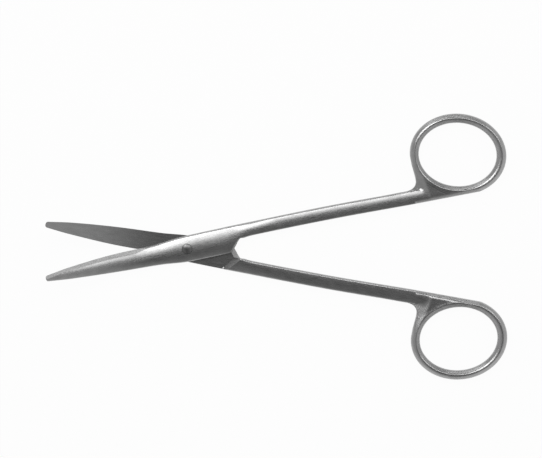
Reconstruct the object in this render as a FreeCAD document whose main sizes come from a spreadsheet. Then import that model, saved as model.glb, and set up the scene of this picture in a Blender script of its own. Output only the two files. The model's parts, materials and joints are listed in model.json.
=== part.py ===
import FreeCAD, Part
import math
import os
import Sketcher
from FreeCAD import Placement, Rotation, Vector

# Curved dissecting scissors, modelled in millimetres at rest, part open.
# Each half is drawn in its own closed frame: pivot at the origin, blade towards -X, finger ring
# towards +X and +Y, outer face up. The bottom half is the same forging turned over, so only the
# way its blade bends differs. Both are then swung to the rest opening and lifted onto the ground.

SIZES = [
    # blade, seen in plan
    ("blade_length", 43.6, "pivot to tip"),
    ("tip_spine", 1.15, "tip end to blade axis, blunt side"),
    ("tip_edge", 0.50, "tip end to blade axis, cutting side"),
    ("tip_radius", 0.90, "rounding of the tip"),
    ("fore_spine", 2.02, "blade axis to spine, near the tip"),
    ("fore_edge", 1.56, "blade axis to cutting edge, near the tip"),
    ("mid_spine", 2.90, "blade axis to spine, mid blade"),
    ("mid_edge", 2.66, "blade axis to cutting edge, mid blade"),
    ("heel_spine", 3.30, "blade axis to spine, at the heel"),
    ("heel_edge", 2.82, "blade axis to cutting edge, at the heel"),
    ("joint_width", 7.90, "box joint, across the pivot"),
    # thickness of one half, from the riding face to its crown, and of its side wall
    ("tip_depth", 0.95, "crown at the tip"),
    ("mid_depth", 1.45, "crown at mid blade"),
    ("joint_depth", 1.90, "crown at the pivot"),
    ("shank_depth", 1.72, "half the shank's thickness"),
    ("side_share", 0.46, "side wall as a share of the crown"),
    ("corner_share", 0.30, "corner radius as a share of the crown"),
    # curve of the blades and the bevel along the cutting edge
    ("bend_start", 6.0, "flat riding face, from the pivot"),
    ("bend_radius", 87.0, "curve of the blades"),
    ("bevel_land", 0.14, "thickness left at the cutting edge"),
    ("bevel_angle", 40.0, "facet from the riding face"),
    ("bevel_end", 11.0, "where the facet runs out, from the pivot"),
    ("bevel_fade", 0.90, "how far the facet lifts off as it runs out"),
    # crotch and shoulder
    ("crotch_start", 13.0, "pivot to the crotch corner"),
    ("crotch_end", 16.4, "pivot to where the crotch meets the shank"),
    ("crotch_nose", 1.30, "length of the blunt crotch corner"),
    ("crotch_step", 0.45, "crotch end below the shank's inner edge"),
    ("crotch_ease", 2.20, "run from the crotch end onto the shank"),
    ("shoulder_foot", 14.65, "pivot to the shoulder's foot, on the axis"),
    ("shoulder_skew", 34.6, "shoulder's foot from square across"),
    ("shoulder_slope", 45.0, "slope of the shoulder's face"),
    # shank
    ("shank_gap", 0.30, "closed shank to the axis"),
    ("shank_bow", 0.28, "bow of the shank's inner edge"),
    ("shank_outer", 4.33, "outer edge of the shank near the joint"),
    ("shank_swell", 0.30, "bow of the shank's outer edge"),
    ("shank_flare", 0.42, "spread of the shank's outer edge at the root"),
    ("stem_end", 75.6, "pivot to where the shank sinks into the web"),
    # finger ring
    ("ring_reach", 86.35, "pivot to ring centre, along the axis"),
    ("ring_offset", 12.60, "axis to ring centre"),
    ("ring_long", 23.80, "finger opening, long way"),
    ("ring_short", 19.40, "finger opening, short way"),
    ("ring_tilt", -16.0, "long way of the opening from the axis"),
    ("rim_width", 2.75, "rim of the ring, in plan"),
    ("ring_depth", 1.90, "half the ring's thickness"),
    ("root_radius", 2.4, "hollow between shank and ring"),
    ("root_swell", 0.35, "root outside the ring's near side"),
    ("web_depth", 1.40, "half the web's thickness"),
    ("web_round", 1.15, "rounding along the web's edges"),
    ("web_inset", 0.06, "web's edge inside the shank's"),
    ("web_run", 3.0, "straight edge past the ring's centre"),
    ("web_tail", 5.0, "from there to the web's tail"),
    ("web_rise", 2.2, "the tail above the straight edge"),
    # pivot screw
    ("head_diameter", 3.15, "screw head"),
    ("head_land", 0.35, "straight rim of the head"),
    ("neck_diameter", 2.10, "screw body"),
    ("head_drop", 0.10, "head below the crown"),
    # running and seating clearances
    ("ride_gap", 0.08, "between the riding faces"),
    ("screw_gap", 0.03, "screw in the top half, all round"),
    ("thread_gap", 0.01, "screw in the bottom half, all round"),
    ("shoulder_gap", 0.15, "closed crotch to the other shoulder"),
    # rest pose
    ("opening_angle", 21.0, "between the two halves"),
]

RIM_FLATS = 12   # flats round the rim's oval section, as it is linished
STATIONS = 40    # sections along the stem, from tip to root

doc = FreeCAD.newDocument("DissectingScissors")
sheet = doc.addObject("Spreadsheet::Sheet", "Sizes")
for row, (alias, size, note) in enumerate(SIZES, start=1):
    sheet.set(f"A{row}", alias)
    sheet.set(f"B{row}", str(size))
    sheet.set(f"C{row}", note)
    sheet.setAlias(f"B{row}", alias)
doc.recompute()


def size(alias):
    return float(sheet.get(alias))


# Blade curve


def bendHeight(reach):
    """Height of the riding face at a distance from the pivot axis."""
    past = max(reach - size("bend_start"), 0.0)
    radius = size("bend_radius")
    return radius - math.sqrt(radius**2 - past**2)


# Stem: blade, joint and shank in one loft


def smooth(points, x):
    """Height at x of a curve through the points that never swings past them."""
    slopes = [(b[1] - a[1]) / (b[0] - a[0]) for a, b in zip(points, points[1:])]
    spot = 0
    while spot < len(slopes) - 1 and x > points[spot + 1][0]:
        spot += 1

    def tangent(i):
        if i in (0, len(slopes)):
            return slopes[min(i, len(slopes) - 1)]
        before, after = slopes[i - 1], slopes[i]
        return 2 * before * after / (before + after) if before * after > 0 else 0.0

    (x0, y0), (x1, y1) = points[spot], points[spot + 1]
    wide = x1 - x0
    u = (x - x0) / wide
    return (y0 * (1 + 2 * u) * (1 - u)**2 + y1 * u**2 * (3 - 2 * u)
            + wide * tangent(spot) * u * (1 - u)**2 - wide * tangent(spot + 1) * u**2 * (1 - u))


def spineLine():
    """Blade spine, crotch side of the joint and inner edge of the shank."""
    blade = size("blade_length")
    half = size("joint_width") / 2
    gap = size("shank_gap")
    start = size("crotch_end")
    end = size("stem_end")
    return [(-blade, -size("tip_spine")), (-0.82 * blade, -size("fore_spine")),
            (-0.48 * blade, -size("mid_spine")), (-0.20 * blade, -size("heel_spine")),
            (0.0, -half), (size("crotch_start"), -0.96 * half),
            (start + 3.6, gap), (start + (end - start) / 2, gap + size("shank_bow")), (end, gap)]


def edgeLine():
    """Cutting edge, outer side of the joint and outer edge of the shank."""
    blade = size("blade_length")
    half = size("joint_width") / 2
    start = size("crotch_end")
    end = size("stem_end")
    outer = size("shank_outer")
    return [(-blade, size("tip_edge")), (-0.82 * blade, size("fore_edge")),
            (-0.48 * blade, size("mid_edge")), (-0.27 * blade, size("heel_edge")),
            (0.0, half), (start + 3.6, outer),
            (start + 0.5 * (end - start), outer + size("shank_swell")),
            (start + 0.8 * (end - start), outer + 0.5 * size("shank_swell")),
            (end, outer + size("shank_flare"))]


def crownLine():
    """Height of the crown over the riding face, or over the shank's middle plane."""
    blade = size("blade_length")
    return [(-blade, size("tip_depth")), (-0.48 * blade, size("mid_depth")),
            (0.0, size("joint_depth")), (size("crotch_start") / 2, size("joint_depth")),
            (size("crotch_end") + 3.6, size("shank_depth")),
            (size("stem_end") - 11.0, 0.97 * size("shank_depth")),
            (size("stem_end"), size("web_depth"))]


def domeArcs(x, middle, wall, crown, way):
    """Half a section: corner, dome and corner, above (way +1) or below (way -1) its middle."""
    side = crown * size("side_share")
    corner = crown * size("corner_share")
    reach = wall - corner
    rise = crown - side
    radius = (reach**2 + rise**2 - corner**2) / (2 * (rise - corner))
    lean = math.atan2(reach, radius - rise)
    half = lean / 2 + math.pi / 4
    touch = (radius * math.sin(lean), crown - radius + radius * math.cos(lean))
    bend = (reach + corner * math.sin(half), side + corner * math.cos(half))

    def at(y, z):
        return Vector(x, middle + way * y, way * z)

    return [Part.Arc(at(wall, side), at(*bend), at(*touch)).toShape(),
            Part.Arc(at(*touch), at(0, crown), at(-touch[0], touch[1])).toShape(),
            Part.Arc(at(-touch[0], touch[1]), at(-bend[0], bend[1]), at(-wall, side)).toShape()]


def stem(bend):
    """Blade, joint and shank; bend is +1 or -1, the way the blade curves."""
    start = -size("blade_length")
    end = size("stem_end")
    wires = []
    for step in range(STATIONS + 1):
        x = start + (end - start) * step / STATIONS
        low = smooth(spineLine(), x)
        high = smooth(edgeLine(), x)
        crown = smooth(crownLine(), x)
        under = max(crown, size("shank_depth")) if x < size("crotch_end") else crown
        middle = (low + high) / 2
        wall = (high - low) / 2
        upper = domeArcs(x, middle, wall, crown, 1)
        lower = domeArcs(x, middle, wall, under, -1)
        walls = [Part.LineSegment(a.Vertexes[-1].Point, b.Vertexes[0].Point).toShape()
                 for a, b in ((upper[-1], lower[0]), (lower[-1], upper[0]))]
        wire = Part.Wire(upper + walls[:1] + lower + walls[1:])
        wire.translate(Vector(0, 0, bend * bendHeight(-x) if x < 0 else 0.0))
        wires.append(wire)
    return Part.makeLoft(wires, True, False)


# What is ground away from a half


def ridingFace(bend):
    """Everything under the riding face: curved under the blade, flat under the joint."""
    start = size("bend_start")
    reach = size("blade_length") + 3.0
    deep = 20.0
    wide = size("joint_width")
    lift = size("ride_gap") / 2
    mid = (start + reach) / 2

    def at(back, z):
        return Vector(0, back, z)

    top = [at(0, lift), at(start, lift)]
    curve = Part.Arc(top[1], at(mid, lift + bend * bendHeight(mid)),
                     at(reach, lift + bend * bendHeight(reach))).toShape()
    base = [at(reach, lift + bend * bendHeight(reach)), at(reach, -deep), at(0, -deep), top[0]]
    face = Part.Face(Part.Wire([Part.makePolygon(top), curve, Part.makePolygon(base)]))
    bowl = face.revolve(Vector(0, 0, 0), Vector(0, 0, 1), 180)
    flat = Part.makeBox(size("crotch_end") + 4, 2 * wide, deep + lift, Vector(0, -wide, -deep))
    return bowl.fuse(flat.cut(shoulderBlock(1, 0.0)))


def shoulderBlock(side, gap):
    """Space behind a shoulder: of this half (side +1, underneath) or the other (side -1, above)."""
    block = Part.makeBox(40, 60, 60, Vector(-gap, -30, -30))
    block.rotate(Vector(0, 0, 0), Vector(0, 1, 0), side * (size("shoulder_slope") - 90))
    block.rotate(Vector(0, 0, 0), Vector(0, 0, 1), side * size("shoulder_skew"))
    block.translate(Vector(size("shoulder_foot"), 0, 0))
    return block


def undercut():
    """Relief under the crotch, so that the closed half passes over the other's shoulder."""
    gap = size("shoulder_gap")
    other = shoulderBlock(-1, gap)
    side = Part.makeBox(30, 20, 20, Vector(0, gap - 20, -10))
    return other.common(side)


def crotch():
    """Plan of the crotch and of the straight inner edge, as a block to take away."""
    half = size("joint_width") / 2
    start = size("crotch_start")
    end = size("crotch_end")
    nose = size("crotch_nose")
    foot = size("shank_gap") - size("crotch_step")
    ease = size("crotch_ease")
    below = -half - ease

    def at(x, y):
        return Vector(x, y, -5)

    corner = [at(start - nose, below), at(start - 0.3 * nose, -0.96 * half),
              at(start + 0.7 * nose, -0.72 * half), at(end, foot)]
    onto = Part.Arc(at(end, foot), at(end + 0.34 * ease, foot + 0.71 * size("crotch_step")),
                    at(end + ease, foot + 0.89 * size("crotch_step"))).toShape()
    rest = [at(end + ease, foot + 0.89 * size("crotch_step")),
            at(end + 2.4 * ease, foot + 0.78 * size("crotch_step")), at(end + 2.4 * ease, below)]
    outline = Part.Wire([Part.makePolygon(corner), onto, Part.makePolygon(rest + corner[:1])])
    return Part.Face(outline).extrude(Vector(0, 0, 10))


def tipRound():
    """What the rounded tip loses, seen in plan."""
    radius = size("tip_radius")
    middle = (size("tip_edge") - size("tip_spine")) / 2
    centre = radius - size("blade_length")
    block = Part.makeBox(radius + 2, 12, 40, Vector(centre - radius - 2, middle - 6, -20))
    return block.cut(Part.makeCylinder(radius, 40, Vector(centre, middle, -20)))


def bevel(bend):
    """Wedge over the ground facet, from the tip to where it runs out."""
    blade = size("blade_length")
    rise = math.tan(math.radians(size("bevel_angle")))
    inward = size("mid_edge") + 0.34
    outward = size("joint_depth") - 0.4
    wires = []
    for share, fade in ((0.0, 0), (0.2, 0), (0.4, 0), (0.6, 0), (0.8, 0.25), (1.0, 1)):
        x = (blade + 0.5) * (share - 1) - size("bevel_end") * share
        edge = smooth(edgeLine(), max(x, -blade))
        lift = bend * bendHeight(-x) + size("bevel_land") + size("ride_gap") / 2
        lift += fade * size("bevel_fade")
        inner = Vector(x, edge - inward, lift + inward * rise)
        outer = Vector(x, edge + outward, lift - outward * rise)
        top = Vector(x, edge + outward, lift + inward * rise)
        wires.append(Part.makePolygon([inner, outer, top, inner]))
    return Part.makeLoft(wires, True, False)


# Finger ring, with the web and the root that carry it


def ringPlace():
    return Placement(Vector(size("ring_reach"), size("ring_offset"), 0),
                     Rotation(Vector(0, 0, 1), size("ring_tilt")))


def ringPath():
    """Oval along the middle of the rim: two pairs of arcs that run smoothly into each other."""
    rim = size("rim_width") / 2
    long = size("ring_long") / 2 + rim
    short = size("ring_short") / 2 + rim
    lean = math.atan2(short, long)
    offset = (math.hypot(long, short) - (long - short)) / 2
    nearCentre = long - offset / math.cos(lean)
    farCentre = nearCentre * long / short
    turn = math.pi / 2 - lean
    near = (long - nearCentre, -turn, turn)
    far = (short + farCentre, turn, math.pi - turn)
    arcs = []
    for x, y, (radius, first, last), facing in ((nearCentre, 0, near, 0), (0, -farCentre, far, 0),
                                                (-nearCentre, 0, near, math.pi),
                                                (0, farCentre, far, math.pi)):
        spots = [Vector(x + radius * math.cos(angle + facing), y + radius * math.sin(angle + facing), 0)
                 for angle in (first, (first + last) / 2, last)]
        arcs.append(Part.Arc(*spots).toShape())
    path = Part.Wire(arcs)
    path.Placement = ringPlace()
    return path, Vector(long, 0, 0)


def oval(high, wide, place):
    """Upright oval section, square to the X axis of its place."""
    upright = Rotation(Vector(0, 0, 1), Vector(1, 0, 0), Vector(0, 1, 0), "ZXY")
    curve = Part.Ellipse(Vector(0, 0, 0), high, wide).toShape()
    curve.Placement = place * Placement(Vector(0, 0, 0), upright)
    return Part.Wire([curve])


def linished(high, wide, place):
    """Oval section made of narrow flats, square to the X axis of its place."""
    turns = [2 * math.pi * (index + 0.5) / RIM_FLATS for index in range(RIM_FLATS)]
    corners = [Vector(wide * math.cos(turn), 0, high * math.sin(turn)) for turn in turns]
    section = Part.makePolygon(corners + corners[:1])
    section.Placement = place
    return section


def fingerRing():
    """Oval bar swept round the finger opening."""
    path, start = ringPath()
    high = size("ring_depth") / math.cos(math.pi / RIM_FLATS)
    wide = size("rim_width") / 2 / math.cos(math.pi / RIM_FLATS)
    section = linished(high, wide, ringPlace() * Placement(start, Rotation()))
    ring = path.makePipeShell([section], True, True)
    flat = Part.makeBox(60, 20, 20, Vector(size("stem_end"), size("shank_gap") - 20, -10))
    return ring.cut(flat)


def rootSide():
    """How far along the half the root's outer side stands."""
    return size("ring_reach") - size("ring_long") / 2 - size("rim_width") + size("root_swell")


def web():
    """Flat web between the ring and the straight inner edge, with the hollow of the root."""
    depth = size("web_depth")
    inset = size("web_inset")
    edge = size("shank_gap") + inset
    hollow = size("root_radius")
    left = rootSide()
    start = size("crotch_end") + 0.8 * (size("stem_end") - size("crotch_end"))
    outer = smooth(edgeLine(), left - hollow) - inset
    run = size("ring_reach") + size("web_run")
    middle = size("ring_offset")

    def at(x, y):
        return Vector(x, y, -depth)

    turn_start = at(left, outer + hollow)
    turn_middle = at(left - 0.3 * hollow, outer + 0.3 * hollow)
    turn_end = at(left - hollow, outer)
    corners = [at(start, smooth(edgeLine(), start) - inset), at(start, edge), at(run, edge),
               at(run + size("web_tail"), edge + size("web_rise")),
               at(left + size("rim_width"), middle), at(left - size("root_swell"), middle), turn_start]
    outline = Part.Wire([Part.makePolygon(corners),
                         Part.Arc(turn_start, turn_middle, turn_end).toShape(),
                         Part.makePolygon([turn_end, corners[0]])])
    plate = Part.Face(outline).extrude(Vector(0, 0, 2 * depth))
    rims = [line for line in plate.Edges if line.BoundBox.ZLength < 0.001]
    plate = plate.makeFillet(size("web_round"), rims)
    opening = Part.Face(ringPath()[0]).extrude(Vector(0, 0, 4 * depth))
    return plate.cut(opening.translated(Vector(0, 0, -2 * depth)))


def root():
    """Oval bar that runs from the ring's near side down into the shank."""
    rim = size("rim_width") / 2
    foot = Vector(rootSide() + rim, size("shank_outer") / 2, 0)
    top = Vector(size("ring_reach") - size("ring_long") / 2 - rim, size("ring_offset"), 0)
    lean = math.degrees(math.atan2(top.x - foot.x, top.y - foot.y))
    across = Placement(foot, Rotation(Vector(0, 0, 1), 90 - lean))
    bar = Part.Face(oval(size("web_depth") + size("web_inset"), rim, across))
    return bar.extrude(top - foot)


# Pivot screw


def pivotScrew():
    """Countersunk screw through both halves, ground flush at both ends."""
    body = doc.addObject("PartDesign::Body", "ScrewBody")
    plane = next(item for item in body.Origin.OriginFeatures if item.Role == "XZ_Plane")
    sketch = body.newObject("Sketcher::SketchObject", "ScrewProfile")
    sketch.AttachmentSupport = [(plane, "")]
    sketch.MapMode = "FlatFace"
    top = size("joint_depth") - size("head_drop")
    rim = size("head_diameter") / 2
    neck = size("neck_diameter") / 2
    points = [(0, -top), (neck, -top), (neck, top - size("head_land") - rim + neck),
              (rim, top - size("head_land")), (rim, top), (0, top)]
    for a, b in zip(points, points[1:] + points[:1]):
        sketch.addGeometry(Part.LineSegment(Vector(*a, 0), Vector(*b, 0)), False)
    lines = len(points)
    for index in range(lines):
        sketch.addConstraint(Sketcher.Constraint("Coincident", index, 2, (index + 1) % lines, 1))
    for index, way in enumerate(["Horizontal", "Vertical", None, "Vertical", "Horizontal"]):
        if way:
            sketch.addConstraint(Sketcher.Constraint(way, index))
    sketch.addConstraint(Sketcher.Constraint("PointOnObject", 0, 1, -2))
    sketch.addConstraint(Sketcher.Constraint("PointOnObject", 4, 2, -2))
    sizes = [("DistanceX", (-1, 1, 1, 1), "neck_diameter / 2"),
             ("DistanceX", (-1, 1, 3, 1), "head_diameter / 2"),
             ("DistanceY", (-1, 1, 4, 2), "joint_depth - Sizes.head_drop"),
             ("DistanceY", (0, 1, -1, 1), "joint_depth - Sizes.head_drop"),
             ("DistanceY", (3, 1, 3, 2), "head_land"),
             ("DistanceY", (2, 1, 2, 2), "head_diameter / 2 - Sizes.neck_diameter / 2")]
    for kind, where, rule in sizes:
        spot = sketch.addConstraint(Sketcher.Constraint(kind, *where, 1.0))
        sketch.setExpression(f"Constraints[{spot}]", f"Sizes.{rule}")
    turned = body.newObject("PartDesign::Revolution", "ScrewTurned")
    turned.Profile = sketch
    turned.ReferenceAxis = (sketch, ["V_Axis"])
    turned.Angle = 360
    return body


def screwHole(gap):
    """Bore and countersink for the screw, with a gap all round."""
    top = size("joint_depth") - size("head_drop")
    rim = size("head_diameter") / 2 + gap
    neck = size("neck_diameter") / 2 + gap
    seat = top - size("head_land") - gap
    bore = Part.makeCylinder(neck, 8, Vector(0, 0, -4))
    sink = Part.makeCone(neck, rim, rim - neck, Vector(0, 0, seat - rim + neck))
    mouth = Part.makeCylinder(rim, 4, Vector(0, 0, seat))
    return bore.fuse([sink, mouth])


# The two forged halves


def half(bend, hole):
    """One half in its closed frame, forged in one piece and bored for the screw."""
    body = stem(bend)
    for tool in (ridingFace(bend), bevel(bend), tipRound(), crotch(), undercut()):
        body = body.cut(tool)
    for piece in (web(), root(), fingerRing()):
        body = body.fuse(piece)
    return body.cut(hole).removeSplitter()


def holdShape(label, shape, place):
    piece = doc.addObject("Part::Feature", label)
    piece.Label = label
    piece.Shape = shape
    piece.Placement = place
    return piece


swing = size("opening_angle") / 2
turnOver = Placement(Vector(0, 0, 0), Rotation(Vector(1, 0, 0), 180))
closedTop = half(1, screwHole(size("screw_gap")))
threaded = Part.makeCylinder(size("neck_diameter") / 2 + size("thread_gap"), 8, Vector(0, 0, -4))
closedBottom = half(-1, threaded)

# The origin is the middle of the foot of the whole, so the rest pose is moved onto it
openTop = Placement(Vector(0, 0, 0), Rotation(Vector(0, 0, 1), swing))
openBottom = Placement(Vector(0, 0, 0), Rotation(Vector(0, 0, 1), -swing)) * turnOver
laid = closedTop.copy()
laid.Placement = openTop
extent = laid.optimalBoundingBox(False)
lift = max(size("joint_depth"), size("ring_depth"))
rest = Placement(Vector(-(extent.XMin + extent.XMax) / 2, 0, lift), Rotation())

screw = pivotScrew()
screw.Label = "pivot_screw"
screw.Placement = rest * openBottom * turnOver
pieces = [holdShape("top_half", closedTop, rest * openTop),
          holdShape("bottom_half", closedBottom, rest * openBottom),
          screw]
doc.recompute()

for item in doc.Objects:
    if "Invalid" in item.State or "Error" in item.State:
        raise RuntimeError(f"{item.Label} did not compute: {item.State}")
for piece in pieces:
    if piece.Shape.isNull() or not piece.Shape.isValid():
        raise RuntimeError(f"{piece.Label} has no valid shape")
    if len(piece.Shape.Solids) != 1:
        raise RuntimeError(f"{piece.Label} is {len(piece.Shape.Solids)} solids")

os.makedirs("parts", exist_ok=True)
for piece in pieces:
    piece.Shape.exportStep(f"parts/{piece.Label}.step")
    box = piece.Shape.BoundBox
    print(f"{piece.Label}: {piece.Shape.Volume:.1f} mm3, {box.XLength:.1f} x {box.YLength:.1f}"
          f" x {box.ZLength:.1f} mm")
print(f"pivot at x {rest.Base.x:.3f}, z {rest.Base.z:.3f} mm")
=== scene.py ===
import json
import math

import bmesh
import bpy
import numpy as np
from mathutils import Matrix, Vector
from mathutils.geometry import delaunay_2d_cdt


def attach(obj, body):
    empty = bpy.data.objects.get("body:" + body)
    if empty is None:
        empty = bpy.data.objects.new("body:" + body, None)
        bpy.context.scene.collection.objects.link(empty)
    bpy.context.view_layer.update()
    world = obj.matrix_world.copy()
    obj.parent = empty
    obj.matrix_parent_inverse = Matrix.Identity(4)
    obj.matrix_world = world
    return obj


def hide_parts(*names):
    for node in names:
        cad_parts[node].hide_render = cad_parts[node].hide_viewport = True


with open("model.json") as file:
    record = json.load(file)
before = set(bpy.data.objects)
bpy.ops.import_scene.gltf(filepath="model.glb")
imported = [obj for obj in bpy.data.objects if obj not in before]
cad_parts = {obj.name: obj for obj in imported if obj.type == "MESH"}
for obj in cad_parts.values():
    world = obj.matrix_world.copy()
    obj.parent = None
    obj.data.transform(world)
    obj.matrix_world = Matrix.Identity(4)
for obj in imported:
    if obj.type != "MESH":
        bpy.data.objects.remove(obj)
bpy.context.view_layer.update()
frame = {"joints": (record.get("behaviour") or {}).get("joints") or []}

mm = 0.001


# Lines, distances and node math

pointsAtOnce = 2000     # keeps the tables of distances small


def through(points, x):
    # Smooth curve through the points that never swings past them
    px, py = np.array(points, float).T
    slopes = np.diff(py) / np.diff(px)
    before, after = slopes[:-1], slopes[1:]
    together = before * after
    inner = np.where(together > 0, 2 * together / np.where(together > 0, before + after, 1), 0)
    tangents = np.concatenate([slopes[:1], inner, slopes[-1:]])
    x = np.clip(x, px[0], px[-1])
    spot = np.clip(np.searchsorted(px, x, side="right") - 1, 0, len(slopes) - 1)
    wide = px[spot + 1] - px[spot]
    u = (x - px[spot]) / wide
    return (py[spot] * (1 + 2 * u) * (1 - u)**2 + py[spot + 1] * u**2 * (3 - 2 * u)
            + wide * tangents[spot] * u * (1 - u)**2 - wide * tangents[spot + 1] * u**2 * (1 - u))


def smoothMax(a, b, soft):
    h = np.maximum(soft - np.abs(a - b), 0) / soft
    return np.maximum(a, b) + h * h * soft / 4


def smoothMin(a, b, soft):
    return -smoothMax(-a, -b, soft)


def roundedEdge(radius, inward):
    # Height of a quarter round over its lower end, so far in from the edge
    return np.sqrt(np.maximum(radius**2 - (radius - inward)**2, 0))


def ellipsePoint(oval, turn):
    tilt = math.radians(oval["tilt"])
    u, v = oval["long"] * np.cos(turn), oval["short"] * np.sin(turn)
    return np.stack([oval["centre"][0] + u * math.cos(tilt) - v * math.sin(tilt),
                     oval["centre"][1] + u * math.sin(tilt) + v * math.cos(tilt)], -1)


def ellipseDistance(oval, points):
    # Distance outside the oval, negative inside, exact near its edge
    tilt = math.radians(oval["tilt"])
    dx, dy = points[:, 0] - oval["centre"][0], points[:, 1] - oval["centre"][1]
    u = dx * math.cos(tilt) + dy * math.sin(tilt)
    v = -dx * math.sin(tilt) + dy * math.cos(tilt)
    near = np.hypot(u / oval["long"], v / oval["short"])
    slope = np.hypot(u / oval["long"]**2, v / oval["short"]**2) + 1e-9
    return near * (near - 1) / slope


def lineDistance(points, line, closed=False):
    a = np.array(line, float)
    b = np.roll(a, -1, 0) if closed else a[1:]
    a = a if closed else a[:-1]
    along = b - a
    length2 = (along**2).sum(1)
    best = np.zeros(len(points))
    for start in range(0, len(points), pointsAtOnce):
        part = points[start:start + pointsAtOnce]
        rel = part[:, None, :] - a[None]
        t = np.clip((rel * along).sum(-1) / length2, 0, 1)
        gap = rel - t[..., None] * along
        best[start:start + pointsAtOnce] = np.sqrt((gap**2).sum(-1)).min(1)
    return best


def inside(points, loop):
    a = np.array(loop, float)
    b = np.roll(a, -1, 0)
    crossings = np.zeros(len(points), int)
    for start in range(0, len(points), pointsAtOnce):
        x, y = points[start:start + pointsAtOnce].T
        spans = (a[:, 1][None] > y[:, None]) != (b[:, 1][None] > y[:, None])
        rise = np.where(b[:, 1] == a[:, 1], 1e-12, b[:, 1] - a[:, 1])
        cut = a[:, 0] + (y[:, None] - a[:, 1]) * (b[:, 0] - a[:, 0]) / rise
        crossings[start:start + pointsAtOnce] = (spans & (x[:, None] < cut)).sum(1)
    return crossings % 2 == 1


def evenly(line, step):
    # The same closed line with its points a step apart
    line = np.array(line, float)
    line = np.vstack([line, line[:1]])
    lengths = np.concatenate([[0], np.cumsum(np.linalg.norm(np.diff(line, axis=0), axis=1))])
    count = max(int(round(lengths[-1] / step)), 1)
    at = np.linspace(0, lengths[-1], count + 1)
    spots = np.stack([np.interp(at, lengths, line[:, 0]), np.interp(at, lengths, line[:, 1])], -1)
    return spots[:-1]


def curveThrough(points, count=12):
    # Rounded line through a short run of points, with count steps from each to the next
    p = np.array(points, float)
    p = np.vstack([2 * p[0] - p[1], p, 2 * p[-1] - p[-2]])
    t = np.linspace(0, 1, count, endpoint=False)[:, None]
    run = [0.5 * (2 * b + (c - a) * t + (2 * a - 5 * b + 4 * c - d) * t**2
                  + (3 * b - a - 3 * c + d) * t**3)
           for a, b, c, d in zip(p, p[1:], p[2:], p[3:])]
    return np.vstack(run + [p[-2:-1]])


def nodeMath(tree, operation, *values):
    # Math node fed with numbers or with other nodes' outputs
    node = tree.nodes.new("ShaderNodeMath")
    node.operation = operation
    for socket, value in zip(node.inputs, values):
        if isinstance(value, (int, float)):
            socket.default_value = value
        else:
            tree.links.new(value, socket)
    return node.outputs[0]


def intoScene(name, data):
    made = bpy.data.objects.new(name, data)
    bpy.context.scene.collection.objects.link(made)
    return made


# Sizes of a half
# It is laid out in millimetres in its closed frame: pivot at the origin, blade towards -x, ring
# towards +x and +y, outer face up. The bottom half is the same blank turned over.

steel = {
    "cuttingSide": [(-43.6, 0.50), (-35.75, 1.56), (-20.93, 2.66), (-11.77, 2.82), (0.0, 3.90),
                    (20.0, 4.33), (46.0, 4.63), (64.0, 4.50), (75.6, 4.50)],
    "spineSide": [(-43.6, -1.15), (-35.75, -2.02), (-20.93, -2.90), (-8.72, -3.30), (0.0, -3.95),
                  (13.0, -3.79), (20.0, 0.30), (46.0, 0.58), (75.6, 0.30), (95.0, 0.30)],
    "crown": [(-43.6, 0.95), (-20.93, 1.45), (0.0, 1.90), (6.5, 1.90), (20.0, 1.72),
              (64.6, 1.67), (75.6, 1.64), (82.0, 0.60)],
    "crest": [(-43.6, 0.0), (-30.0, -0.25), (-12.0, -0.9), (8.0, -1.3), (20.0, -0.75),
              (60.0, -0.6), (80.0, -0.3)],    # crest line from the middle of the section
    # Side wall and corner radius as shares of the crown, on the outer and the inner side
    "outerWall": [(-43.6, 0.46), (-20.0, 0.40), (-5.0, 0.34), (8.0, 0.34), (20.0, 0.42),
                  (30.0, 0.54), (60.0, 0.54)],
    "outerCorner": 0.30,
    "innerWall": [(-43.6, 0.46), (8.0, 0.46), (20.0, 0.76), (75.6, 0.76)],
    "innerCorner": [(-43.6, 0.30), (8.0, 0.30), (20.0, 0.22), (75.6, 0.22)],
    "leastWall": 0.6,       # crest to side, at least
    "hemLean": 60.0,        # slope over the corner that follows the crotch
    "hemSoft": 0.08,
    "ringFrom": 60.0,       # past this x the stem keeps to its own sides
    "crotch": [(19.6, 0.27), (17.7, 0.10), (16.9, 0.02), (16.4, -0.12), (15.65, -0.86),
               (14.87, -1.72), (13.9, -2.90), (13.3, -3.42), (12.6, -3.75)],
    "hollow": [(68.6, 4.52), (70.0, 4.66), (71.0, 5.05), (71.7, 5.65), (72.12, 6.4),
               (72.27, 7.3), (72.25, 8.6), (72.10, 10.2), (71.94, 12.0)],
    "maxHeight": 1.90,
    "softness": 0.32,       # how softly ring, root and web run into each other
}
blade = {"bendStart": 6.0, "bendRadius": 87.0, "rideGap": 0.04, "bevelLand": 0.14,
         "bevelAngle": 40.0, "bevelEnd": 11.0, "bevelFade": 7.0, "bevelLift": 0.9}
tip = {"fill": 0.96, "extra": 0.14, "turn": 86, "square": 2.5,      # its plan
       "round": 0.5, "wall": 0.35, "length": 2.2, "rise": 2.0, "soft": 0.1}
shoulder = {"foot": 14.65, "skew": 34.6, "gap": 0.15, "edge": 1.6, "relievedTo": 24.0}
ring = {"inside": {"centre": (86.28, 12.60), "long": 11.88, "short": 9.70, "tilt": -15.5},
        "outside": {"centre": (86.40, 12.60), "long": 14.70, "short": 12.36, "tilt": -17.0},
        "arc": (190, -90),      # the outer oval shows from the hollow to below the ring
        "width": 2.75, "widest": 1.1, "height": 1.90, "side": 1.20, "corner": 0.45, "lean": 42.0,
        "crestShift": 0.17, "fall": 1.5}
web = {"start": 64.0, "hemFrom": 71.0, "hemSoft": 0.12,
       "height": 1.80, "flank": 0.29,
       "fold": [(0.0, 76.3), (3.0, 75.8), (7.9, 74.8), (13.0, 74.2)]}
grind = {"from": 71.5, "width": 3.2, "radius": 13, "apart": 300}     # grind marks round the ring

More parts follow.
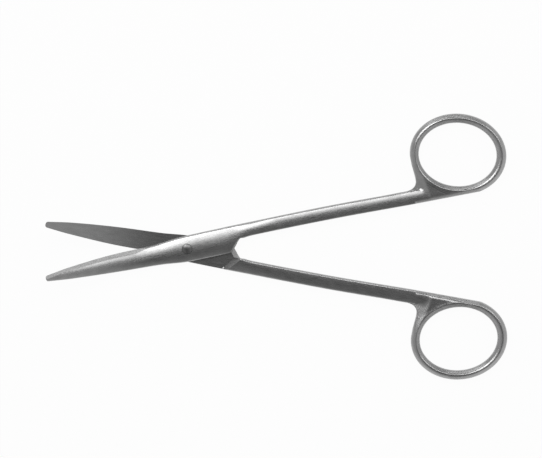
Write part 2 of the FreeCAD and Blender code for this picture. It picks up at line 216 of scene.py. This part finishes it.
# How finely a half is divided: rows lie this far in from the rim, open is the spacing elsewhere,
# and free points keep clear of every line by at least the clear distance
grid = {"along": 0.34, "rows": (0.015, 0.05, 0.12, 0.22, 0.35, 0.5, 0.7, 0.95),
        "rowKeep": 0.9, "stagger": 0.25, "open": 0.45, "openEdge": 0.2, "x": (-43, 102), "y": (-4, 26),
        "clear": 0.12, "step": 0.008, "halvings": 24, "thin": 0.002,      # thinner steel is left out
        "onPlace": 0.01, "onLine": 0.002, "flat": 0.001,      # how close counts as the same place
        "crestRows": (-0.3, -0.15, 0.0, 0.15, 0.3), "crestClear": 0.45, "crestTurn": 1.0,
        "bore": 48, "tip": 30, "oval": 240, "side": 0.5,
        "tipJoin": (0.3, 0.2), "hollowJoin": 0.5, "ovalJoin": 0.2, "crotchJoin": 0.4}
# Where the lines of creases() start and end, and how many rows each has
crease = {"fromTip": 1.3, "beforeEnd": 0.3, "step": 0.5, "bevel": (0.001, 2.6), "shoulder": 3.85,
          "shoulderRows": 12, "relief": -3.6, "reliefRows": 24, "length": 4.5,
          "side": (14.6, 19.5, 0.25), "rim": 0.06}

noSteel, aboveAll = -1.0, 99.0      # heights where a form is missing or doesn't cut


# Plan of a half


def planOutline():
    # Round the tip, along the cutting side, round the ring and back by the crotch and the spine
    def side(name, x):
        return np.stack([x, through(steel[name], x)], -1)

    tipX, high = steel["cuttingSide"][0]
    low = steel["spineSide"][0][1]
    radius = tip["fill"] * (high - low) / 2 + tip["extra"]
    centre = (tipX + radius, (high + low) / 2)
    turn = np.radians(np.linspace(-tip["turn"], tip["turn"], grid["tip"]))
    square = 2 / tip["square"]
    nose = np.stack([centre[0] - radius * np.cos(turn)**square,
                     centre[1] + radius * np.sign(turn) * np.abs(np.sin(turn))**square], -1)
    oval = ellipsePoint(ring["outside"], np.linspace(*map(math.radians, ring["arc"]), grid["oval"]))
    flat = steel["spineSide"][-1][1]
    oval = oval[:np.argmax((oval[:, 1] < flat) & (oval[:, 0] > ring["outside"]["centre"][0]))]
    hollow = curveThrough(steel["hollow"])
    crotch = curveThrough(steel["crotch"])
    tipEdge, tipSpine = grid["tipJoin"]
    step, join = grid["side"], grid["crotchJoin"]
    edge = side("cuttingSide", np.arange(centre[0] + tipEdge, hollow[0][0] - grid["hollowJoin"], step))
    inner = side("spineSide", np.arange(oval[-1][0] - grid["ovalJoin"], crotch[0][0] + join, -step))
    spine = side("spineSide", np.arange(crotch[-1][0] - join, centre[0] + tipSpine, -step))
    clockwise = evenly(np.vstack([nose, edge, hollow, oval, inner, crotch, spine]), grid["along"])
    return clockwise[::-1]


outline = planOutline()
fingerHole = evenly(ellipsePoint(ring["inside"], np.radians(np.arange(360, 0, -1.0))), grid["along"])
print("plan: outline of", len(outline), "points, finger opening of", len(fingerHole))


def onPlan(points):
    return inside(points, outline) & ~inside(points, fingerHole)


def rim(points):
    return np.minimum(lineDistance(points, outline, True), lineDistance(points, fingerHole, True))


# Heights of a half, over its middle plane


def shoulderReach(points, side):
    # Distance past the shoulder's foot: of this half (side 1) or of the other one (side -1)
    skew = math.radians(shoulder["skew"])
    return (points[:, 0] - shoulder["foot"]) * math.cos(skew) + side * points[:, 1] * math.sin(skew)


def cornerHem(base, corner, lean, edgeGap):
    # Round corner over a wall of height base, then a slope, by the distance from the rim
    lean = math.radians(lean)
    turned = corner * (1 - math.sin(lean))
    height = base + roundedEdge(corner, np.minimum(edgeGap, turned))
    return height + np.maximum(edgeGap - turned, 0) * math.tan(lean)


def stemHeight(points, edgeGap):
    x, y = points.T
    low, high = through(steel["spineSide"], x), through(steel["cuttingSide"], x)
    crown = through(steel["crown"], x)
    crest = (low + high) / 2 + through(steel["crest"], x)
    off, outer = np.abs(y - crest), y > crest
    wall = np.maximum(np.where(outer, high - crest, crest - low), steel["leastWall"])
    side = crown * np.where(outer, through(steel["outerWall"], x), through(steel["innerWall"], x))
    corner = crown * np.where(outer, steel["outerCorner"], through(steel["innerCorner"], x))
    # A dome that runs into the round corner without a break
    reach, rise = wall - corner, crown - side
    radius = (reach**2 + rise**2 - corner**2) / (2 * (rise - corner))
    lean = np.arctan2(reach, radius - rise)
    dome = crown - radius + np.sqrt(np.maximum(radius**2 - off**2, 0))
    bend = side + np.sqrt(np.maximum(corner**2 - np.maximum(off - reach, 0)**2, 0))
    height = np.where(off > radius * np.sin(lean), bend, dome)
    # The same corner follows the crotch, where it leaves the straight side
    height = smoothMin(height, cornerHem(side, corner, steel["hemLean"], edgeGap), steel["hemSoft"])
    fromTip = np.clip((x - steel["cuttingSide"][0][0]) / tip["length"], 0, 1)
    nose = tip["wall"] + roundedEdge(tip["round"], np.minimum(edgeGap, tip["round"]))
    nose = nose + fromTip * tip["rise"]
    height = np.where(fromTip < 1, smoothMin(height, nose, tip["soft"]), height)
    beside = (off > wall) & (x > steel["ringFrom"])
    return np.where(beside | (x > steel["crown"][-1][0]), noSteel, height)


def ringHeight(points):
    # Rounded bar whose crest lies towards the far end of the ring
    off = ellipseDistance(ring["inside"], points)
    left = -ellipseDistance(ring["outside"], points)
    width = np.where(left > 0, off + left, ring["width"])
    share = np.clip(off / np.maximum(width, 0.1), 0, 1)
    dx, dy = (points - np.array(ring["outside"]["centre"])).T
    crest = 0.5 + ring["crestShift"] * dx / np.maximum(np.hypot(dx, dy), 0.1)
    across = np.where(share > crest, (share - crest) / (1 - crest), (crest - share) / crest)
    height = ring["height"] - (ring["height"] - ring["side"]) * across**ring["fall"]
    return np.where(off > ring["widest"] * ring["width"], noSteel, height)


def webHeight(points):
    # Flat past the fold, falling from there towards the hollow
    fold = through(web["fold"], points[:, 1])
    return web["height"] - web["flank"] * np.maximum(fold - points[:, 0], 0)


def outerHeight(points, edgeGap):
    # Ring side: the highest of stem, web and ring, run softly into each other
    stem = stemHeight(points, edgeGap)
    soft = steel["softness"]
    joined = smoothMax(smoothMax(stem, webHeight(points), soft), ringHeight(points), soft)
    hem = cornerHem(ring["side"] - ring["corner"], ring["corner"], ring["lean"], edgeGap)
    hem = np.where(points[:, 0] > web["hemFrom"], hem, aboveAll)
    joined = np.minimum(smoothMin(joined, hem, web["hemSoft"]), steel["maxHeight"])
    return np.where(points[:, 0] > web["start"], joined, stem)


def bevelHeight(points):
    # Ground facet along the cutting edge, running out before the joint
    x, y = points.T
    inward = through(steel["cuttingSide"], x) - y
    height = blade["rideGap"] + blade["bevelLand"] + inward * math.tan(math.radians(blade["bevelAngle"]))
    fade = np.clip((x + blade["bevelEnd"] + blade["bevelFade"]) / blade["bevelFade"], 0, 1)
    return height + blade["bevelLift"] * fade**2 + np.where(x > -blade["bevelEnd"], aboveAll, 0.0)


def reliefHeight(points):
    # Clearance over the other half's shoulder
    return shoulderReach(points, -1) + shoulder["gap"] * math.sqrt(2)


def heights(points):
    full = outerHeight(points, rim(points))
    top = np.minimum(full, bevelHeight(points))
    under = np.maximum(-full, np.minimum(blade["rideGap"], -shoulderReach(points, 1)))
    crotchSide = (points[:, 1] < shoulder["gap"]) & (points[:, 0] < shoulder["relievedTo"])
    relief = reliefHeight(points)
    under = np.where(crotchSide, np.maximum(under, relief), under)
    # Past the place where the relief cuts the half away, both faces lie together
    edge = np.minimum(relief, np.maximum(full, shoulder["edge"]))
    under = np.where(crotchSide & (relief > full), edge, under)
    return np.maximum(top, under), under


# Lines where the surface turns sharply


def lastPlace(near, far, line, surface):
    # Furthest place along each row at which the surface still cuts into the half
    for _ in range(grid["halvings"]):
        middle = (near + far) / 2
        spots = line(middle)
        cuts = inside(spots, outline) & (surface(spots) < outerHeight(spots, rim(spots)))
        near, far = np.where(cuts, middle, near), np.where(cuts, far, middle)
    return line(near)


def bevelTop():
    x = np.arange(steel["cuttingSide"][0][0] + crease["fromTip"], -blade["bevelEnd"] - crease["beforeEnd"],
                  crease["step"])
    edge = through(steel["cuttingSide"], x)
    near, far = (np.full(len(x), depth) for depth in crease["bevel"])
    return lastPlace(near, far, lambda inward: np.stack([x, edge - inward], -1), bevelHeight)


def slopeLines(y, foot, surface):
    # Foot and top of a sloping face, row by row
    top = lastPlace(foot, foot + crease["length"], lambda x: np.stack([x, y], -1), surface)
    return [np.stack([foot, y], -1), top]


def creases():
    gap, skew = shoulder["gap"], math.radians(shoulder["skew"])
    y = np.linspace(gap, crease["shoulder"], crease["shoulderRows"])
    foot = shoulder["foot"] - math.tan(skew) * y - blade["rideGap"] / math.cos(skew)
    lines = [bevelTop()] + slopeLines(y, foot, lambda spots: shoulderReach(spots, 1))
    y = np.linspace(crease["relief"], gap - grid["step"], crease["reliefRows"])
    reach = blade["rideGap"] - gap * math.sqrt(2)
    foot = shoulder["foot"] + reach / math.cos(skew) + math.tan(skew) * y
    lines += slopeLines(y, foot, reliefHeight)
    x = np.arange(*crease["side"])
    lines += [np.stack([x, np.full(len(x), gap + shift)], -1) for shift in (-grid["step"], grid["step"])]
    return [line[(rim(line) > crease["rim"]) & inside(line, outline)] for line in lines]


# Mesh of a half


def crestRow(shift):
    # Points round the ring, a shift away from its crest
    turn = np.radians(np.arange(0, 360, grid["crestTurn"]))
    near, far = ellipsePoint(ring["inside"], turn), ellipsePoint(ring["outside"], turn)
    fromCentre = near - np.array(ring["outside"]["centre"])
    share = 0.5 + ring["crestShift"] * fromCentre[:, 0] / np.linalg.norm(fromCentre, axis=1)
    share = share + shift / np.linalg.norm(far - near, axis=1)
    return near + (far - near) * share[:, None]


def rimRows():
    # Rows that follow the rim, closer together towards it
    for loop in (outline, fingerHole):
        ahead = np.roll(loop, -1, 0) - np.roll(loop, 1, 0)
        ahead /= np.linalg.norm(ahead, axis=1)[:, None]
        normal = np.stack([-ahead[:, 1], ahead[:, 0]], -1)
        for index, row in enumerate(grid["rows"]):
            shifted = loop + normal * row + ahead * grid["along"] * grid["stagger"] * (index % 2)
            yield shifted[(rim(shifted) > grid["rowKeep"] * row) & onPlan(shifted)]


def openField():
    # Staggered points over the rest of the plan
    step = grid["open"]
    gx, gy = np.meshgrid(np.arange(*grid["x"], step), np.arange(*grid["y"], step))
    gx = gx + (np.round(gy / step) % 2) * step / 2
    field = np.stack([gx.ravel(), gy.ravel()], -1)
    field = field[onPlan(field)]
    return field[rim(field) > grid["rows"][-1] + grid["openEdge"]]


def crestRows():
    rows = np.vstack([crestRow(shift) for shift in grid["crestRows"]])
    rows = rows[inside(rows, outline)]
    return rows[rim(rows) > grid["clear"]]


def planMesh(bores):
    # Points and triangles of the plan, with the loops that walls stand on
    turn = np.linspace(0, 2 * np.pi, grid["bore"], endpoint=False)[::-1]
    loops = [outline, fingerHole] + [np.stack([r * np.cos(turn), r * np.sin(turn)], -1) for r in bores]
    lines = creases()
    free = np.vstack([*rimRows(), openField()])
    free = free[lineDistance(free, crestRow(0.0), True) > grid["crestClear"]]
    free = np.vstack([free, crestRows()])
    for line in lines:
        free = free[lineDistance(free, line) > grid["clear"]]
    for r in bores:
        free = free[np.abs(np.hypot(*free.T) - r) > grid["clear"]]
    points, edges = [], []
    for run, closed in [(loop, 1) for loop in loops] + [(line, 0) for line in lines]:
        first, count = sum(map(len, points)), len(run)
        points.append(run)
        edges += [(first + i, first + (i + 1) % count) for i in range(count - 1 + closed)]
    found = delaunay_2d_cdt([Vector(p) for p in np.vstack(points + [free])], edges, [], 1, 1e-5)
    spots = np.array([tuple(v) for v in found[0]])
    triangles = np.array(found[2])
    return spots, triangles[onPlan(spots[triangles].mean(1))], loops, lines


def grindWay(verts):
    # Millimetres along the grind, across it and up: lengthwise on the stem, round the ring
    x, y, z = verts.T
    centre = ring["outside"]["centre"]
    off = ellipseDistance(ring["inside"], verts[:, :2])
    angle = np.arctan2(-(y - centre[1]), -(x - centre[0]))
    around = np.stack([angle * grind["radius"] + grind["apart"], off, z], -1)
    onRing = ((x > grind["from"]) & (off < grind["width"]))[:, None]
    return np.where(onRing, around, verts)


def nearestIndex(spots, line):
    return [int(np.argmin(((spots - p)**2).sum(1))) for p in line]


def halfMesh(name, bores):
    # Closed mesh of one half, its blade still straight
    spots, triangles, loops, lines = planMesh([r for r, _ in bores])
    top, under = heights(spots)
    thin = top - under < grid["thin"]
    triangles = triangles[~thin[triangles].all(1)]
    count = len(spots)
    fromAxis = np.hypot(*spots[triangles].mean(1).T)
    outerRadius, innerRadius = max(r for r, _ in bores), min(r for r, _ in bores)
    upward = triangles[fromAxis > outerRadius - grid["onPlace"]]
    downward = triangles[fromAxis > innerRadius - grid["onPlace"]]
    faces = [tuple(t) for t in upward] + [tuple(count + i for i in reversed(t)) for t in downward]
    verts = [(x, y, z) for level in (top, under) for (x, y), z in zip(spots, level)]

    def wall(upper, lower):
        for i in range(len(upper)):
            j = (i + 1) % len(upper)
            if upper[i] >= count or not (thin[upper[i]] and thin[upper[j]]):
                faces.append((lower[i], lower[j], upper[j], upper[i]))

    for loop in loops[:2]:
        index = nearestIndex(spots, loop)
        wall(index, [count + i for i in index])
    upper = nearestIndex(spots, loops[2])
    for (_, height), loop in zip(bores, loops[2:]):
        seatRow = list(range(len(verts), len(verts) + len(loop)))
        verts.extend((x, y, height) for x, y in loop)
        wall(upper, seatRow)
        upper = seatRow
    wall(upper, [count + i for i in nearestIndex(spots, loops[-1])])
    mesh = bpy.data.meshes.new(name)
    mesh.from_pydata([Vector(v) * mm for v in verts], [], faces)
    spread = np.array(verts)
    along = mesh.attributes.new("grind", "FLOAT_VECTOR", "POINT")
    along.data.foreach_set("vector", grindWay(spread).ravel())
    turn = mesh.attributes.new("turn", "FLOAT", "POINT")      # 1 on the lines of creases()
    onLine = np.min([lineDistance(spread[:, :2], line) for line in lines], 0) < grid["onLine"]
    turn.data.foreach_set("value", onLine.astype(float))
    ground = mesh.attributes.new("ground", "BOOLEAN", "FACE")      # the riding face
    for index, face in enumerate(faces):
        ground.data[index].value = all(abs(verts[i][2] - blade["rideGap"]) < grid["flat"] for i in face)
    mesh.validate()
    return intoScene(name, mesh)


# Blade curve, as a node tree


def bladeCurve():
    # Lifts the blade along an arc, by its distance from the pivot, and gives each face its finish
    tree = bpy.data.node_groups.new("bladeCurve", "GeometryNodeTree")
    tree.interface.new_socket("Geometry", in_out="INPUT", socket_type="NodeSocketGeometry")
    kinds = {"Bend start": "NodeSocketFloat", "Bend radius": "NodeSocketFloat", "Way": "NodeSocketFloat",
             "Outside": "NodeSocketMaterial", "Inside": "NodeSocketMaterial"}
    sockets = {label: tree.interface.new_socket(label, in_out="INPUT", socket_type=kind)
               for label, kind in kinds.items()}
    tree.interface.new_socket("Geometry", in_out="OUTPUT", socket_type="NodeSocketGeometry")
    nodes, links = tree.nodes, tree.links
    given, result = nodes.new("NodeGroupInput"), nodes.new("NodeGroupOutput")
    position, split = nodes.new("GeometryNodeInputPosition"), nodes.new("ShaderNodeSeparateXYZ")
    links.new(position.outputs[0], split.inputs[0])
    x, y, _ = split.outputs

    def squared(value):
        return nodeMath(tree, "MULTIPLY", value, value)

    reach = nodeMath(tree, "SQRT", nodeMath(tree, "ADD", squared(x), squared(y)))
    past = nodeMath(tree, "MAXIMUM", nodeMath(tree, "SUBTRACT", reach, given.outputs["Bend start"]), 0.0)
    radius = given.outputs["Bend radius"]
    drop = nodeMath(tree, "SQRT", nodeMath(tree, "SUBTRACT", squared(radius), squared(past)))
    rise = nodeMath(tree, "MULTIPLY", nodeMath(tree, "SUBTRACT", radius, drop), given.outputs["Way"])
    onBlade = nodeMath(tree, "LESS_THAN", x, 0.0)
    lift = nodes.new("ShaderNodeCombineXYZ")
    links.new(nodeMath(tree, "MULTIPLY", rise, onBlade), lift.inputs[2])
    move, realize = nodes.new("GeometryNodeSetPosition"), nodes.new("GeometryNodeRealizeInstances")
    links.new(given.outputs["Geometry"], move.inputs["Geometry"])
    links.new(lift.outputs[0], move.inputs["Offset"])
    links.new(move.outputs[0], realize.inputs[0])
    outer, riding = nodes.new("GeometryNodeSetMaterial"), nodes.new("GeometryNodeSetMaterial")
    ground = nodes.new("GeometryNodeInputNamedAttribute")
    ground.data_type = "BOOLEAN"
    ground.inputs["Name"].default_value = "ground"
    links.new(realize.outputs[0], outer.inputs["Geometry"])
    links.new(given.outputs["Outside"], outer.inputs["Material"])
    links.new(outer.outputs[0], riding.inputs["Geometry"])
    links.new(ground.outputs["Attribute"], riding.inputs["Selection"])
    links.new(given.outputs["Inside"], riding.inputs["Material"])
    links.new(riding.outputs[0], result.inputs[0])
    return tree, {label: socket.identifier for label, socket in sockets.items()}


curveTree, curveSockets = bladeCurve()
seam = {"merge": 0.004, "collapse": 0.001, "sharpOnLine": 8, "sharp": 38}     # millimetres, degrees


def bendBlade(piece, way, outerFinish, ridingFinish):
    # Way is 1 where the half lies face up and -1 where it is turned over, so both blades rise
    modifier = piece.modifiers.new("bladeCurve", "NODES")
    modifier.node_group = curveTree
    modifier[curveSockets["Bend start"]] = blade["bendStart"] * mm
    modifier[curveSockets["Bend radius"]] = blade["bendRadius"] * mm
    modifier[curveSockets["Way"]] = float(way)
    modifier[curveSockets["Outside"]] = outerFinish
    modifier[curveSockets["Inside"]] = ridingFinish
    graph = bpy.context.evaluated_depsgraph_get()
    bent = bpy.data.meshes.new_from_object(piece.evaluated_get(graph))
    piece.modifiers.clear()
    old = piece.data
    piece.data = bent
    bpy.data.meshes.remove(old)


def weld(piece, stand):
    # Merges the rim, puts the half in its place and marks its sharp edges
    made = bmesh.new()
    made.from_mesh(piece.data)
    bmesh.ops.remove_doubles(made, verts=made.verts, dist=seam["merge"] * mm)
    bmesh.ops.dissolve_degenerate(made, edges=made.edges, dist=seam["collapse"] * mm)
    bmesh.ops.triangulate(made, faces=[f for f in made.faces if len(f.verts) > 4])
    for face in made.faces:
        face.smooth = True
    onLine, elsewhere = math.radians(seam["sharpOnLine"]), math.radians(seam["sharp"])
    turn = made.verts.layers.float["turn"]
    for edge in made.edges:
        limit = onLine if all(vert[turn] > 0.5 for vert in edge.verts) else elsewhere
        edge.smooth = edge.is_manifold and edge.calc_face_angle(0) < limit
    bmesh.ops.transform(made, matrix=stand, verts=made.verts)
    made.to_mesh(piece.data)
    made.free()


# Finishes

# Streak and cloud sizes in millimetres, cloud along and across the grind
satinFinish = {"colour": 0.46, "mottle": 0.04, "roughness": 0.28, "spread": 0.05, "streak": 0.05,
               "length": 9.0, "depth": 0.3, "cloud": (2.5, 1.2)}
groundFinish = {"colour": 0.46, "mottle": 0.03, "roughness": 0.26, "spread": 0.04, "streak": 0.04,
                "length": 14.0, "depth": 0.15, "cloud": (2.9, 1.2)}
dullFinish = {"colour": 0.22, "mottle": 0.05, "roughness": 0.32, "spread": 0.05, "streak": 0.12,
              "length": 1.5, "depth": 0.08, "cloud": (0.2, 0.2)}
grain = {"range": (0.3, 0.7), "longer": 6, "wider": 1.6, "cloudDetail": 3.0, "streakDetail": 4.0,
         "height": 0.002, "edgeTint": 0.6}


def groundMetal(name, finish, attribute=None):
    # Steel with fine grind marks: streaks in roughness and bump, and a faint cloudiness
    material = bpy.data.materials.new(name)
    material.use_nodes = True
    nodes, links = material.node_tree.nodes, material.node_tree.links
    shader = nodes["Principled BSDF"]
    shader.inputs["Metallic"].default_value = 1.0
    shader.inputs["Specular Tint"].default_value = (grain["edgeTint"],) * 3 + (1,)
    if attribute:
        where = nodes.new("ShaderNodeAttribute")
        where.attribute_name = attribute
        spot, perUnit = where.outputs["Vector"], 1.0
    else:
        where = nodes.new("ShaderNodeTexCoord")
        spot, perUnit = where.outputs["Object"], 1 / mm

    def noise(along, across, detail):
        stretch, speckle = nodes.new("ShaderNodeMapping"), nodes.new("ShaderNodeTexNoise")
        stretch.inputs["Scale"].default_value = (perUnit / along, perUnit / across, perUnit / across)
        speckle.inputs["Scale"].default_value = 1.0
        speckle.inputs["Detail"].default_value = detail
        links.new(spot, stretch.inputs["Vector"])
        links.new(stretch.outputs[0], speckle.inputs["Vector"])
        return speckle.outputs["Fac"]

    def eitherSide(value, middle, spread):
        # The value's usual range laid over middle - spread to middle + spread
        remap = nodes.new("ShaderNodeMapRange")
        for socket, number in zip(remap.inputs[1:5], (*grain["range"], middle - spread, middle + spread)):
            socket.default_value = number
        links.new(value, remap.inputs[0])
        return remap.outputs[0]

    clouds = noise(*finish["cloud"], grain["cloudDetail"])
    streaks = noise(finish["length"] * finish["streak"] * grain["longer"],
                    finish["streak"] * grain["wider"], grain["streakDetail"])
    shade = nodes.new("ShaderNodeCombineColor")
    level = eitherSide(clouds, finish["colour"], finish["mottle"])
    for channel in shade.inputs:
        links.new(level, channel)
    links.new(shade.outputs[0], shader.inputs["Base Color"])
    links.new(eitherSide(streaks, finish["roughness"], finish["spread"]), shader.inputs["Roughness"])
    bump = nodes.new("ShaderNodeBump")
    bump.inputs["Strength"].default_value = finish["depth"]
    bump.inputs["Distance"].default_value = grain["height"] * mm
    links.new(streaks, bump.inputs["Height"])
    links.new(bump.outputs[0], shader.inputs["Normal"])
    return material


satinSteel = groundMetal("satinSteel", satinFinish, "grind")
groundSteel = groundMetal("groundSteel", groundFinish, "grind")
screwSteel = groundMetal("screwSteel", dullFinish)


# Halves in place

opening = 21.0
boreTop = [(1.605, 1.42), (1.08, 0.90)]      # countersink of the top half, radius and height
boreBottom = [(1.06, 0.90)]                  # threaded hole of the bottom half

pivotAt = Vector(frame["joints"][0]["pos_m"])
turnOver = Matrix.Rotation(math.pi, 4, "X")
swing = math.radians(opening / 2)
places = {"top_half": Matrix.Translation(pivotAt) @ Matrix.Rotation(swing, 4, "Z"),
          "bottom_half": Matrix.Translation(pivotAt) @ Matrix.Rotation(-swing, 4, "Z") @ turnOver}
for node, body, way, bores in (("top_half", "top", 1, boreTop), ("bottom_half", "bottom", -1, boreBottom)):
    piece = halfMesh(node + "_steel", bores)
    bendBlade(piece, way, satinSteel, groundSteel)
    weld(piece, places[node])
    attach(piece, body)
    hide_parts(node)
    print("half:", piece.name, len(piece.data.polygons), "faces")


# Pivot screw, turned

screw = {"head": 1.575, "neck": 1.05, "top": 1.80, "land": 0.35, "edge": 0.07,
         "steps": 96, "sharp": 35}     # land is the straight side of the head


def revolved(name, profile, stand, material):
    # Closed solid of revolution: the profile runs from the axis below to the axis above
    made = bmesh.new()
    steps = screw["steps"]
    rows = []
    for radius, height in profile:
        turns = range(steps) if radius > 0 else range(1)
        rows.append([made.verts.new((radius * math.cos(2 * math.pi * i / steps) * mm,
                                     radius * math.sin(2 * math.pi * i / steps) * mm, height * mm))
                     for i in turns])
    for lower, upper in zip(rows, rows[1:]):
        for i in range(steps):
            j = (i + 1) % steps
            corners = [lower[i % len(lower)], lower[j % len(lower)],
                       upper[j % len(upper)], upper[i % len(upper)]]
            made.faces.new(list(dict.fromkeys(corners)))
    for face in made.faces:
        face.smooth = True
    for edge in made.edges:
        edge.smooth = edge.calc_face_angle(0) < math.radians(screw["sharp"])
    bmesh.ops.transform(made, matrix=stand, verts=made.verts)
    mesh = bpy.data.meshes.new(name)
    made.to_mesh(mesh)
    made.free()
    mesh.materials.append(material)
    return intoScene(name, mesh)


head, neck, top, bevel = screw["head"], screw["neck"], screw["top"], screw["edge"]
seat = top - screw["land"]
screwProfile = [(0, -top), (neck - bevel, -top), (neck, -top + bevel), (neck, seat - head + neck),
                (head, seat), (head, top - bevel), (head - bevel, top), (0, top)]
pivotScrew = revolved("pivot_screw_steel", screwProfile, Matrix.Translation(pivotAt), screwSteel)
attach(pivotScrew, "bottom")
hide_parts("pivot_screw")
print("screw:", len(pivotScrew.data.polygons), "faces")


# Floor, light and camera

studio = {"centre": (-0.0016, 0.0058, 0.0019), "distance": 2.4, "tilt": 4.0, "roll": 0.4,
          "pixel": 0.3044 * mm, "across": 542, "sensor": 36,
          "floor": 3.0, "below": 0.00002, "paper": 0.9,
          "glow": 0.96}    # the rest shows the object's shadow

bpy.ops.mesh.primitive_plane_add(size=studio["floor"], location=(0, 0, -studio["below"]))
floor = bpy.context.object
floor.name = "floor"
white = bpy.data.materials.new("whiteFloor")
white.use_nodes = True
paper = white.node_tree
paper.nodes.clear()
output, mix = paper.nodes.new("ShaderNodeOutputMaterial"), paper.nodes.new("ShaderNodeMixShader")
glow, matte = paper.nodes.new("ShaderNodeEmission"), paper.nodes.new("ShaderNodeBsdfDiffuse")
glow.inputs["Strength"].default_value = 1.0
matte.inputs["Color"].default_value = (studio["paper"],) * 3 + (1,)
rays = paper.nodes.new("ShaderNodeLightPath").outputs
seen = nodeMath(paper, "MAXIMUM", rays["Is Camera Ray"], rays["Is Glossy Ray"])
seen = nodeMath(paper, "MAXIMUM", seen, rays["Is Transmission Ray"])
paper.links.new(nodeMath(paper, "MULTIPLY", seen, studio["glow"]), mix.inputs[0])
paper.links.new(matte.outputs[0], mix.inputs[1])
paper.links.new(glow.outputs[0], mix.inputs[2])
paper.links.new(mix.outputs[0], output.inputs[0])
floor.data.materials.append(white)

room = {"above": 0.02, "walls": 0.24, "ends": 0.33, "near": 2.2, "front": 0.09}    # ends lie along x
world = bpy.data.worlds.new("studio")
bpy.context.scene.world = world
world.use_nodes = True
sky = world.node_tree
outward, split = sky.nodes.new("ShaderNodeTexCoord"), sky.nodes.new("ShaderNodeSeparateXYZ")
sky.links.new(outward.outputs["Generated"], split.inputs[0])
alongX, alongY, up = split.outputs
walls = nodeMath(sky, "MULTIPLY_ADD", up, -room["walls"], room["above"] + room["walls"])
aside = nodeMath(sky, "MULTIPLY", nodeMath(sky, "ABSOLUTE", alongX), room["near"])
ends = nodeMath(sky, "MULTIPLY", nodeMath(sky, "MINIMUM", aside, 1.0), room["ends"])
front = nodeMath(sky, "MULTIPLY", alongY, -room["front"])
total = nodeMath(sky, "ADD", nodeMath(sky, "ADD", walls, ends), front)
sky.links.new(total, sky.nodes["Background"].inputs["Color"])

lamps = {
    "upperLeft": {"azimuth": 125, "fromTop": 38, "distance": 0.6, "size": (0.28, 0.24), "power": 0.55},
    "back": {"azimuth": 85, "fromTop": 25, "distance": 0.6, "size": (0.50, 0.22), "power": 0.68},
    "low": {"azimuth": 97, "fromTop": 73, "distance": 0.6, "size": (0.60, 0.09), "power": 0.28},
    "upperRight": {"azimuth": 35, "fromTop": 58, "distance": 0.6, "size": (0.22, 0.20), "power": 0.3},
}
for name, lamp in lamps.items():
    light = bpy.data.lights.new(name, "AREA")
    light.shape = "RECTANGLE"
    light.size, light.size_y = lamp["size"]
    light.energy = lamp["power"]
    turned, down = math.radians(lamp["azimuth"]), math.radians(lamp["fromTop"])
    toLamp = Vector((math.cos(turned) * math.sin(down), math.sin(turned) * math.sin(down), math.cos(down)))
    holder = intoScene(name, light)
    holder.location = toLamp * lamp["distance"]
    holder.rotation_euler = toLamp.to_track_quat("Z", "Y").to_euler()

camera = intoScene("camera", bpy.data.cameras.new("camera"))
bpy.context.scene.camera = camera
tilt, roll = math.radians(studio["tilt"]), math.radians(studio["roll"])
backwards = Vector((0, math.sin(tilt), math.cos(tilt)))
camera.location = Vector(studio["centre"]) + studio["distance"] * backwards
camera.rotation_euler = (Matrix.Rotation(-tilt, 4, "X") @ Matrix.Rotation(-roll, 4, "Z")).to_euler()
camera.data.sensor_width = studio["sensor"]
camera.data.lens = studio["sensor"] * studio["distance"] / (studio["across"] * studio["pixel"])
bpy.context.scene.view_settings.view_transform = "Standard"
